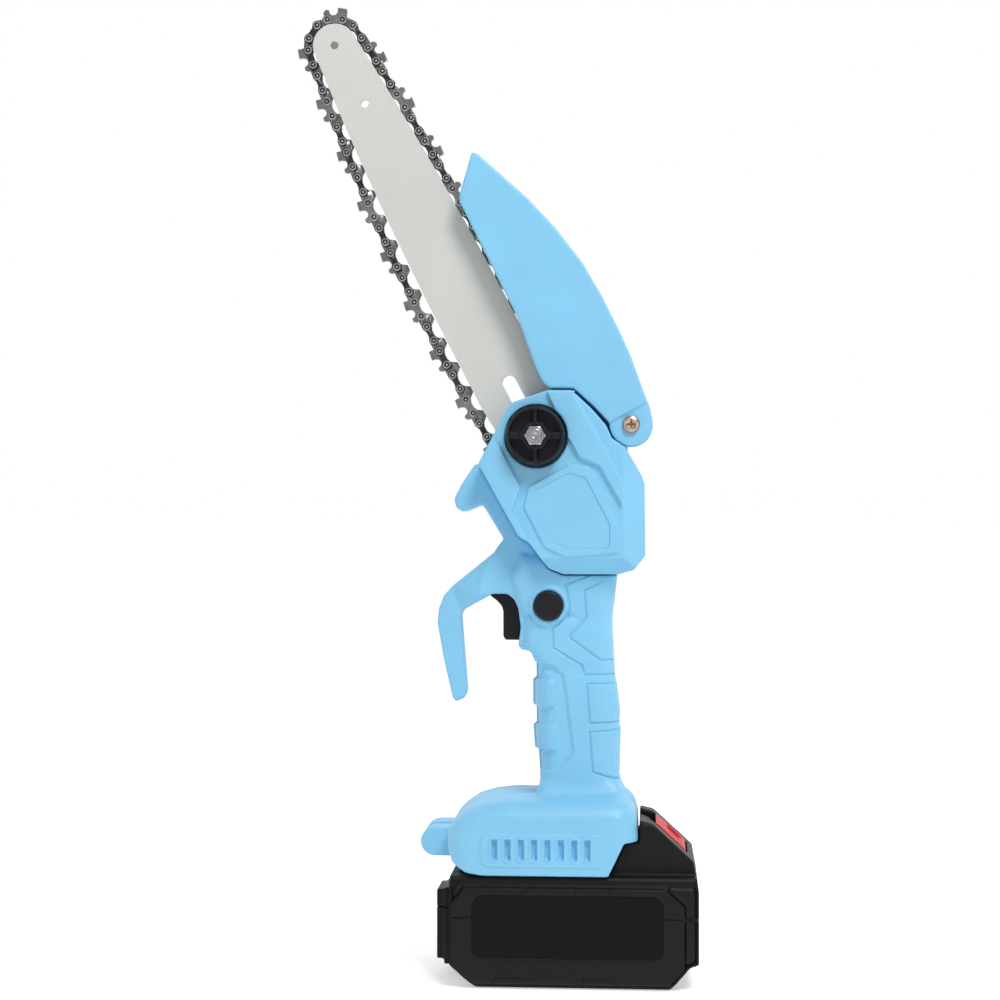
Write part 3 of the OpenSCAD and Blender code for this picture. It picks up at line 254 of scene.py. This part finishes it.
def studio_floor():
    """Pale paper, glowing a little behind the saw so that no horizon shows."""
    shader = Shader("floor_paper", (0.9, 0.9, 0.9), 0.9)
    shader.principled.inputs["Emission Color"].default_value = WHITE
    glow = map_range(shader.tree, y_of(shader.tree, shader.place), FLOOR_FADE, FLOOR_GLOW)
    shader.tree.links.new(glow, shader.principled.inputs["Emission Strength"])
    shader.tint(0.99, 1.01, scale=3, detail=2)
    return shader.material


# Each slot's finish: how it is made, its colour, its roughness and what else differs.
FINISHES = {
    "blue_shell": (moulded_plastic, (0.232, 0.585, 0.85), 0.46, {}),
    "charcoal_plastic": (moulded_plastic, (0.0135, 0.014, 0.018), 0.4, {"specular": 0.2}),
    "inner_plastic": (moulded_plastic, (0.03, 0.03, 0.034), 0.5, {}),
    "battery_black": (
        moulded_plastic, (0.0095, 0.0095, 0.0098), 0.44, {"grain": 0.00006, "specular": 0.18},
    ),
    "label_black": (gloss_plastic, (0.005, 0.005, 0.0053), 0.4, {"specular": 0.12}),
    "latch_red": (gloss_plastic, (0.58, 0.008, 0.014), 0.4, {"specular": 0.2}),
    "lead_red": (gloss_plastic, (0.5, 0.02, 0.015), 0.4, {}),
    "board_green": (circuit_board, (0.02, 0.12, 0.05), 0.35, {}),
    "screw_steel": (worked_metal, (0.6, 0.53, 0.46), 0.3, {}),
    "bright_steel": (
        worked_metal, (0.58, 0.58, 0.6), 0.3, {"wear": 0.05, "scratch": 0.000004},
    ),
    "plain_steel": (worked_metal, (0.5, 0.5, 0.52), 0.36, {"stretch": ALONG_BAR}),
    "bar_finish": (bar_coating, (0.64, 0.65, 0.615), 0.5, {}),
    "link_steel": (worked_metal, (0.3, 0.3, 0.29), 0.36, {"wear": 0.3}),
    "strap_steel": (worked_metal, (0.07, 0.07, 0.078), 0.34, {"wear": 0.35}),
    # Also gives the painted shade on the rivet heads' rim and groove rings, in make_rivets.
    "oily_recess": (worked_metal, (0.03, 0.03, 0.032), 0.5, {"wear": 0.3}),
    "screw_recess": (worked_metal, (0.55, 0.24, 0.1), 0.35, {"wear": 0.4}),
    "cutter_chrome": (worked_metal, (0.42, 0.42, 0.43), 0.32, {"wear": 0.2}),
    "spring_steel": (worked_metal, (0.6, 0.6, 0.62), 0.25, {}),
    "sintered_iron": (worked_metal, (0.24, 0.24, 0.25), 0.45, {"wear": 0.2}),
    "magnet_ferrite": (moulded_plastic, (0.03, 0.03, 0.033), 0.6, {}),
    "gear_brass": (worked_metal, (0.78, 0.58, 0.28), 0.28, {}),
    "winding_copper": (worked_metal, (0.72, 0.34, 0.18), 0.3, {"stretch": ROUND_WINDING}),
    "contact_brass": (worked_metal, (0.82, 0.66, 0.36), 0.24, {}),
    "cast_aluminium": (worked_metal, (0.7, 0.71, 0.72), 0.42, {"wear": 0.1}),
    "cell_can": (gloss_plastic, (0.03, 0.26, 0.38), 0.35, {}),
}


def make_materials():
    return {
        name: make(name, colour, roughness, **more)
        for name, (make, colour, roughness, more) in FINISHES.items()
    }


make_camera()
make_studio()
materials = make_materials()
slots = {part["node"]: part["material_slot"] for part in frame["record"]["subparts"]}
body_of = {
    node: body
    for body, members in frame["record"]["behaviour"]["bodies"].items() for node in members
}


# ---------- pieces that stand for CAD nodes, in millimetres ----------


def paint(mesh, node):
    """Gives a mesh the finish of a CAD node's slot."""
    mesh.materials.clear()
    mesh.materials.append(materials[slots[node]])


def new_piece(node, mesh, suffix):
    piece = bpy.data.objects.new(f"{node}_{suffix}", mesh)
    bpy.context.collection.objects.link(piece)
    paint(mesh, node)
    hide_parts(node)
    return piece


def riding_piece(node, mesh, suffix):
    """A piece that stands for a CAD node and rides with its body."""
    piece = new_piece(node, mesh, suffix)
    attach(piece, body_of[node])
    return piece


def closing_spring(node, axis, front):
    """A still copy of a spring, neither riding with a body nor closing up; its ends along the
    axis, the front one 0 low or 1 high, are found but not used.
    """
    piece = new_piece(node, nodes[node].data.copy(), "closing")
    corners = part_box(node)
    middle = [(low + high) / 2 for low, high in zip(*corners)]
    seat, tip = list(middle), list(middle)
    seat[axis] = corners[1 - front][axis]
    tip[axis] = corners[front][axis]
    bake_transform(piece)


MERGE_DISTANCE = 0.01 * MM


def shaped(mesh, modifiers):
    """A mesh after the given modifiers, each a type with its settings."""
    helper = bpy.data.objects.new("helper", mesh)
    bpy.context.collection.objects.link(helper)
    for kind, settings in modifiers:
        modifier = helper.modifiers.new(kind, kind)
        for name, value in settings.items():
            setattr(modifier, name, value)
    depsgraph = bpy.context.evaluated_depsgraph_get()
    final = bpy.data.meshes.new_from_object(helper.evaluated_get(depsgraph))
    bpy.data.objects.remove(helper)
    final.polygons.foreach_set("use_smooth", [True] * len(final.polygons))
    return final


WELD = ("WELD", {"merge_threshold": MERGE_DISTANCE})
SMOOTHING = 0.5
FLAT_LIMIT = math.radians(0.5)
SHARP_LIMIT = math.radians(35)


def moulded(node, voxel, passes):
    """A copy of a CAD node with every edge and inner corner rounded, as moulding leaves them."""
    remesh = ("REMESH", {"mode": "VOXEL", "voxel_size": voxel * MM})
    smooth = ("SMOOTH", {"factor": SMOOTHING, "iterations": passes})
    mesh = shaped(nodes[node].data.copy(), [WELD, remesh, smooth])
    return riding_piece(node, mesh, "moulding")


def bevelled(node, width):
    """A copy of a metal CAD node with its sharp edges broken, as tumbling leaves them."""
    flat = ("DECIMATE", {"decimate_type": "DISSOLVE", "angle_limit": FLAT_LIMIT})
    bevel = ("BEVEL", {
        "width": width * MM, "segments": 2, "limit_method": "ANGLE",
        "angle_limit": SHARP_LIMIT, "harden_normals": True,
    })
    mesh = shaped(nodes[node].data.copy(), [WELD, flat, bevel])
    return riding_piece(node, mesh, "bevelled")


def smoothstep(value):
    value = np.clip(value, 0, 1)
    return value * value * (3 - 2 * value)


def closed(outline):
    return outline + outline[:1]


def distance_to_line(points, line):
    """Distance of each X-Z point from an open line through the given corners."""
    best = np.full(len(points), math.inf)
    for a, b in zip(line[:-1], line[1:]):
        a, b = np.array(a, float), np.array(b, float)
        run = b - a
        share = np.clip(((points - a) @ run) / (run @ run), 0, 1)
        best = np.minimum(best, np.linalg.norm(points - (a + share[:, None] * run), axis=1))
    return best


def inside_outline(points, outline):
    inside = np.zeros(len(points), bool)
    for (ax, az), (bx, bz) in zip(outline, closed(outline)[1:]):
        if az == bz:
            continue
        crosses = (az > points[:, 1]) != (bz > points[:, 1])
        at = ax + (points[:, 1] - az) * (bx - ax) / (bz - az)
        inside ^= crosses & (points[:, 0] < at)
    return inside


def depth_inside(points, outline):
    """How far inside an outline each X-Z point lies, and below zero outside it."""
    near = distance_to_line(points, closed(outline))
    return np.where(inside_outline(points, outline), near, -near)


def vertex_values(mesh, name):
    values = np.empty(len(mesh.vertices) * 3)
    mesh.vertices.foreach_get(name, values)
    return values.reshape(-1, 3)


# The share of a normal that points out to the side before its face is split, before it moves
# and when it moves in full, and the share that points forward before a wrapping panel moves it.
SPLIT_LEAN = 0.1
MOVE_LEAN = 0.15
SQUARE_LEAN = 0.85
FRONT_LEAN = 0.3


def split_near(mesh, line, reach, side):
    """Halves the outward faces close to a line, so that its groove comes out crisp."""
    places = vertex_values(mesh, "co") / MM
    near = distance_to_line(places[:, [0, 2]], line) < reach
    chosen = near & (vertex_values(mesh, "normal")[:, 1] * side > SPLIT_LEAN)
    work = bmesh.new()
    work.from_mesh(mesh)
    edges = [e for e in work.edges if chosen[e.verts[0].index] and chosen[e.verts[1].index]]
    bmesh.ops.subdivide_edges(work, edges=edges, cuts=1, use_grid_fill=True)
    work.to_mesh(mesh)
    work.free()


def soften(mesh, share, passes):
    """Blends vertices into their neighbours, each by its own share."""
    places = vertex_values(mesh, "co")
    edges = np.empty(len(mesh.edges) * 2, int)
    mesh.edges.foreach_get("vertices", edges)
    edges = edges.reshape(-1, 2)
    edges = edges[(share[edges] > 0).any(axis=1)]
    ends = np.concatenate([edges[:, 0], edges[:, 1]])
    others = np.concatenate([edges[:, 1], edges[:, 0]])
    count = np.maximum(np.bincount(ends, minlength=len(places)), 1)
    for _ in range(passes):
        for axis in range(3):
            middle = np.bincount(ends, places[others, axis], len(places)) / count
            places[:, axis] += SMOOTHING * share * (middle - places[:, axis])
    mesh.vertices.foreach_set("co", places.ravel())
    mesh.update()


EVERYWHERE = (-math.inf, math.inf)


class Surface:
    """The vertices of a moulded piece, pushed in and out along their normals."""

    def __init__(self, piece, side, lines=(), reach=1.2):
        self.mesh = piece.data
        for line in lines:
            split_near(self.mesh, line, reach, side)
        self.places = vertex_values(self.mesh, "co") / MM
        self.normals = vertex_values(self.mesh, "normal")
        self.flat = self.places[:, [0, 2]]
        self.faces_out = self.normals[:, 1] * side > MOVE_LEAN
        self.move = np.zeros(len(self.places))

    def select(self, x=EVERYWHERE, z=EVERYWHERE, deeper_than=0.0):
        """The vertices between two X, between two Z and further than this from the mid-plane."""
        return (
            (self.flat[:, 0] > x[0]) & (self.flat[:, 0] < x[1])
            & (self.flat[:, 1] > z[0]) & (self.flat[:, 1] < z[1])
            & (np.abs(self.places[:, 1]) > deeper_than)
        )

    def groove(self, line, where, width, depth):
        chosen = np.flatnonzero(where & self.faces_out)
        near = distance_to_line(self.flat[chosen], line)
        self.move[chosen] -= depth * smoothstep(1 - near / width)

    def panel(self, outline, where, lift, edge, wraps=False):
        """Raises or sinks the inside of an outline, with a soft edge."""
        outward = self.faces_out | (wraps & (self.normals[:, 0] < -FRONT_LEAN))
        chosen = np.flatnonzero(where & outward)
        inside = depth_inside(self.flat[chosen], outline)
        self.move[chosen] += lift * smoothstep(0.5 + inside / edge)

    def step_down(self, outline, where, drop, edge):
        """Sinks what lies outside an outline, less where it curves away to an edge."""
        chosen = np.flatnonzero(where & self.faces_out)
        inside = depth_inside(self.flat[chosen], outline)
        lean = np.abs(self.normals[chosen, 1])
        squarely = smoothstep((lean - MOVE_LEAN) / (SQUARE_LEAN - MOVE_LEAN))
        self.move[chosen] -= drop * squarely * smoothstep(0.5 - inside / edge)

    def apply(self):
        moved = (self.places + self.normals * self.move[:, None]) * MM
        self.mesh.vertices.foreach_set("co", moved.ravel())
        self.mesh.update()


def rounded_rect(x0, x1, z0, z1, radius, steps=5):
    corners = [(x1, z1, 0), (x0, z1, 90), (x0, z0, 180), (x1, z0, 270)]
    outline = []
    for x, z, start in corners:
        cx = x - radius if x == x1 else x + radius
        cz = z - radius if z == z1 else z + radius
        for i in range(steps + 1):
            angle = math.radians(start + 90 * i / steps)
            outline.append((cx + radius * math.cos(angle), cz + radius * math.sin(angle)))
    return outline


BUTTON = (-10.2, 171.2)
BUTTON_CLEARANCE = 9
PALM_LINE = [
    (10.2, 186), (-2.9, 180.6), (-1.6, 177), (-0.6, 171), (-1.4, 166), (-6.3, 162), (-8.4, 160.8),
    (-8.2, 151.8), (4.9, 143.9), (6, 139.7), (26, 139.7),
]
ARROW_LINE = [(13.8, 182), (6, 178), (7, 166), (-0.9, 156.7), (13.8, 146.1), (26, 146.6)]
UPPER_PANEL = [(7.2, 135.2), (28, 135.6), (29, 118), (8.6, 117.7)]
LOWER_PANEL = [(8.6, 113.3), (28, 114.6), (28, 91.4), (20, 92.2), (9.9, 95.2)]
FINGER_PANEL = [
    (-30, 145), (-12.7, 144.9), (-8, 143), (-3.3, 139.2), (1.2, 104.1), (-4.6, 97.1),
    (-10.4, 95.1), (-30, 95.1),
]
# The low edge, high edge and rear end of each pad; they run off the front of the grip.
FINGER_PADS = [(124.6, 137, -7.6), (104.6, 116, -6.8)]
PAD_FRONT = -40
PAD_RADIUS = 1.5
GRIP = {"x": (-32, 26), "z": (86, 192), "deeper_than": 3.0}
GRIP_FRONT = {"x": (-32, 0), "z": (100, 140)}

VENT_PANEL = rounded_rect(-40, 15.6, 54.5, 69.3, 4)
VENT_FIRST = -33.7
VENT_STEP = 5.98
VENT_COUNT = 8
# Half the width, the low edge, the high edge and the corner radius of each vent's outlines.
VENT_RIM = (1.9, 57.2, 67.6, 1.2)
VENT_SPLIT = (1.6, 57.5, 67.3, 1.1)
VENT_SLOT = (1.35, 57.8, 67, 0.9)
FOOT_WALL = {"x": (-45, 20), "z": (51, 73), "deeper_than": 33}


def shape_grip(surface):
    grip = surface.select(**GRIP)
    from_button = np.hypot(surface.flat[:, 0] - BUTTON[0], surface.flat[:, 1] - BUTTON[1])
    off_button = grip & (from_button > BUTTON_CLEARANCE)
    surface.groove(PALM_LINE, off_button, width=0.8, depth=0.8)
    surface.groove(ARROW_LINE, off_button, width=0.8, depth=0.8)
    for outline in (UPPER_PANEL, LOWER_PANEL):
        surface.panel(outline, grip, lift=0.4, edge=0.8)
        surface.groove(closed(outline), grip, width=0.75, depth=0.75)
    surface.panel(FINGER_PANEL, grip, lift=-1.3, edge=1.5, wraps=True)
    front = surface.select(**GRIP_FRONT)
    for low, high, end in FINGER_PADS:
        pad = rounded_rect(PAD_FRONT, end, low, high, PAD_RADIUS)
        surface.panel(pad, front, lift=1.6, edge=1.2, wraps=True)


def vent_outlines(half, low, high, radius):
    middles = [VENT_FIRST + i * VENT_STEP for i in range(VENT_COUNT)]
    return [rounded_rect(x - half, x + half, low, high, radius) for x in middles]


def shape_vents(surface):
    foot = surface.select(**FOOT_WALL)
    surface.panel(VENT_PANEL, foot, lift=0.5, edge=0.8)
    for rim in vent_outlines(*VENT_RIM):
        surface.groove(closed(rim), foot, width=0.7, depth=-0.5)
    for slot in vent_outlines(*VENT_SLOT):
        surface.panel(slot, foot, lift=-0.8, edge=0.5)


def band(values, low, high, fade):
    """1 between low and high, fading to 0 over a distance outside them."""
    return smoothstep(1 + (values - low) / fade) * smoothstep(1 + (high - values) / fade)


# The seam between the halves stays sharp: softening starts this far off it, over this run.
SEAM_CLEARANCE = 3
SEAM_FADE = 4
GRIP_BAND = (-22, 27, 3)
# The fillet into the foot, the waist, and the hollow behind the lock button: the band of Z, the
# band of X, each as low, high and fade, and the number of passes.
SOFT_BANDS = [
    ((80, 92, 4), (*EVERYWHERE, 1), 90),
    ((137, 150, 4), (-8, 22, 4), 50),
    ((160, 172, 4), (4, 22, 3), 50),
]


def soften_grip(mesh):
    """Fillets where the grip runs into the foot, and evens out its narrower parts."""
    x, y, z = (vertex_values(mesh, "co") / MM).T
    off_seam = smoothstep((np.abs(y) - SEAM_CLEARANCE) / SEAM_FADE) * band(x, *GRIP_BAND)
    for z_band, x_band, passes in SOFT_BANDS:
        soften(mesh, off_seam * band(z, *z_band) * band(x, *x_band), passes)


def make_housings():
    lines = [PALM_LINE, ARROW_LINE, closed(UPPER_PANEL), closed(LOWER_PANEL), closed(VENT_PANEL)]
    lines += [closed(outline) for outline in vent_outlines(*VENT_SPLIT)]
    for node, side in (("housing_near", -1), ("housing_far", 1)):
        piece = moulded(node, voxel=0.62, passes=6)
        soften_grip(piece.data)
        surface = Surface(piece, side, lines)
        shape_grip(surface)
        shape_vents(surface)
        surface.apply()


PANEL_INNER = [
    (-0.4, 231.4), (6.8, 229.3), (17.6, 208.4), (17.6, 199.2), (16.1, 197.4),
    (-2.2, 197.3), (-9.8, 200.9), (-17.6, 216.1), (-15.3, 223.9),
]
COVER_FACE_DEPTH = 24


def make_cover():
    piece = moulded("sprocket_cover", voxel=0.42, passes=3)
    surface = Surface(piece, -1, [closed(PANEL_INNER)])
    face = surface.select(deeper_than=COVER_FACE_DEPTH)
    surface.groove(closed(PANEL_INNER), face, width=0.6, depth=0.45)
    surface.apply()


PACK_FRAME = [
    (-53.8, 38), (-47, 45.6), (42.4, 45.6), (51.7, 38), (51.7, 9.8), (44.7, 1.7), (-43.1, 1.7),
    (-53.8, 9.8),
]
PACK_TICKS = [
    [(-38, 46), (-36.5, 43.6), (-20, 43.6), (-18.5, 46)],
    [(2, 46), (3.5, 43.6), (17, 43.6), (18.5, 46)],
    [(-35, 1), (-33.5, 5), (-18, 5), (-16.5, 1)],
    [(5, 1), (6.5, 5), (20, 5), (21.5, 1)],
]
PACK_WALL = {"z": (-1, 52), "deeper_than": 30}


def make_battery():
    for node in ("battery_case_lower", "battery_case_upper"):
        piece = moulded(node, voxel=0.6, passes=3)
        for side in (-1, 1):
            surface = Surface(piece, side, PACK_TICKS, reach=1.0)
            wall = surface.select(**PACK_WALL)
            surface.step_down(PACK_FRAME, wall, drop=2.2, edge=1.6)
            for tick in PACK_TICKS:
                surface.groove(tick, wall, width=0.75, depth=0.6)
            surface.apply()


# ---------- rivets and screw ----------


def island_centres(mesh):
    """The middle of each separate solid of a mesh."""
    work = bmesh.new()
    work.from_mesh(mesh)
    bmesh.ops.remove_doubles(work, verts=work.verts, dist=MERGE_DISTANCE)
    centres = []
    seen = set()
    for start in work.verts:
        if start in seen:
            continue
        seen.add(start)
        island = [start]
        for vertex in island:
            for edge in vertex.link_edges:
                other = edge.other_vert(vertex)
                if other not in seen:
                    seen.add(other)
                    island.append(other)
        low = [min(v.co[i] for v in island) for i in range(3)]
        high = [max(v.co[i] for v in island) for i in range(3)]
        centres.append(Vector([(a + b) / 2 for a, b in zip(low, high)]))
    work.free()
    return centres


# Radius and height over the mid-plane of a rivet's head, from its rim to its middle, and which
# of the rings between those points take painted shade: the strap's shadow round the rim and shade
# in the groove.
RIVET_HEAD = [
    (1.0, 1.6), (1.8, 1.64), (1.76, 1.84), (1.6, 1.98), (1.18, 1.98), (1.08, 1.7),
    (0.6, 1.68), (0.52, 1.88), (0.25, 1.95),
]
RIVET_PAINTED_SHADE_RINGS = (0, 1, 4, 5, 6)
RIVET_SIDES = 18


def add_head(work, centre, side):
    """Adds one head of a rivet, and gives back the vertices of its rim."""
    rings = []
    for radius, height in RIVET_HEAD:
        ring = []
        for i in range(RIVET_SIDES):
            angle = math.tau * i / RIVET_SIDES
            offset = Vector((radius * math.cos(angle), side * height, radius * math.sin(angle)))
            ring.append(work.verts.new(centre + offset * MM))
        rings.append(ring)
    for i in range(len(rings) - 1):
        for j in range(RIVET_SIDES):
            k = (j + 1) % RIVET_SIDES
            face = work.faces.new((rings[i][j], rings[i][k], rings[i + 1][k], rings[i + 1][j]))
            # Painted shade: the rim and groove rings take the dark oily_recess finish.
            face.material_index = 1 if i in RIVET_PAINTED_SHADE_RINGS else 0
    work.faces.new(rings[-1])
    return rings[0]


def make_rivets():
    work = bmesh.new()
    for centre in island_centres(nodes["chain_rivets"].data):
        near = add_head(work, centre, -1)
        far = add_head(work, centre, 1)
        for j in range(RIVET_SIDES):
            k = (j + 1) % RIVET_SIDES
            work.faces.new((near[j], near[k], far[k], far[j]))
    bmesh.ops.recalc_face_normals(work, faces=work.faces)
    mesh = bpy.data.meshes.new("chain_rivets_peened")
    work.to_mesh(mesh)
    work.free()
    painted_shade_indices = [polygon.material_index for polygon in mesh.polygons]
    riding_piece("chain_rivets", mesh, "peened")
    # The dark oily_recess rings are painted shade: the strap's shadow round the rim and shade in
    # the groove.
    mesh.materials.append(materials["oily_recess"])
    mesh.polygons.foreach_set("material_index", painted_shade_indices)


RECESS_TOP = 0.1 * MM
RECESS_DEPTH = 3 * MM
RECESS_AREA = 12 * MM * MM
FLOOR_LEAN = 0.9


def make_pivot_screw():
    """A bevelled screw with the floor of its cross recess in another finish."""
    mesh = bevelled("guard_pivot_screw", width=0.25).data
    mesh.materials.append(materials["screw_recess"])
    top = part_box("guard_pivot_screw")[0][1] + RECESS_TOP
    for polygon in mesh.polygons:
        in_recess = top < polygon.center.y < top + RECESS_DEPTH
        faces_out = abs(polygon.normal.y) > FLOOR_LEAN
        if in_recess and faces_out and polygon.area < RECESS_AREA:
            polygon.material_index = 1


# ---------- everything, in order ----------

# Every CAD node takes its slot's finish; those with a piece of their own are replaced below.
for name, node in nodes.items():
    paint(node.data, name)
make_housings()
make_cover()
make_battery()
moulded("chain_guard", voxel=0.6, passes=4)
moulded("cover_knob", voxel=0.3, passes=3)
moulded("trigger", voxel=0.4, passes=8)
moulded("lock_button", voxel=0.35, passes=5)
moulded("latch_button", voxel=0.4, passes=5)
moulded("latch_nose", voxel=0.4, passes=5)
closing_spring("trigger_spring", axis=0, front=0)
closing_spring("lock_spring", axis=1, front=0)
closing_spring("latch_spring", axis=2, front=1)
make_rivets()
make_pivot_screw()
bevelled("chain_straps_near", width=0.16)
bevelled("chain_straps_far", width=0.16)
bevelled("chain_drive_links", width=0.12)
moulded("knob_nut", voxel=0.16, passes=3)
moulded("bar_stud", voxel=0.2, passes=4)
